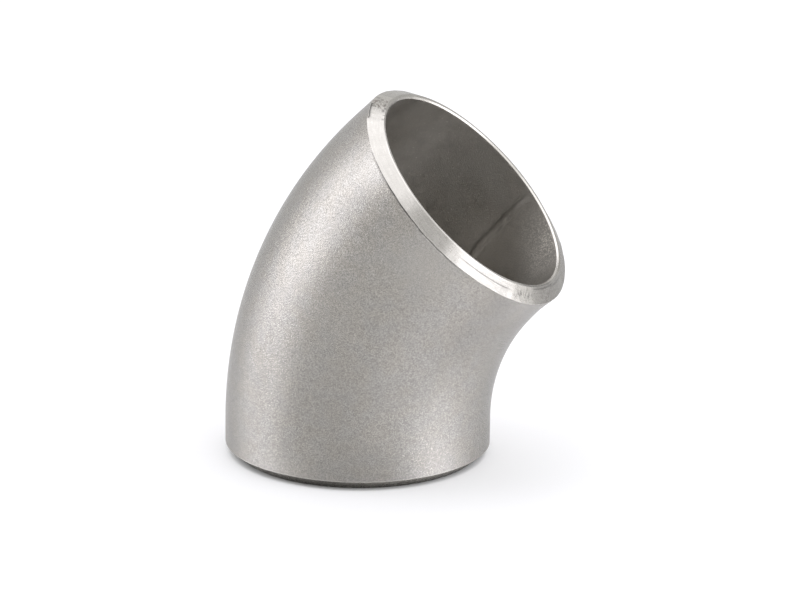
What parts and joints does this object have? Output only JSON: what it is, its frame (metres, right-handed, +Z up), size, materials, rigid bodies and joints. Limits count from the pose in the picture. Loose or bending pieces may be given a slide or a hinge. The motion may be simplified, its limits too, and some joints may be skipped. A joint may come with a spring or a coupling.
{
  "type": "butt weld elbow",
  "caption": "Short stainless steel pipe elbow that turns a line through half a right angle, with bevelled ends for butt welding and a low weld seam along the bore.",
  "frame": {"origin": "centre of the lower end face, on the axis of the lower straight end", "axes": "+Z is up, along the lower end's axis into the part; the elbow bends towards +X in the XZ plane; +Y is the side with the inner weld seam"},
  "size_m": [0.0613, 0.0484, 0.0671],
  "materials": {
    "elbow": "bead-blasted stainless steel, with the weld preparation at both ends bright from the lathe"
  },
  "bodies": {
    "root": {"elbow": "elbow"}
  },
  "joints": []
}
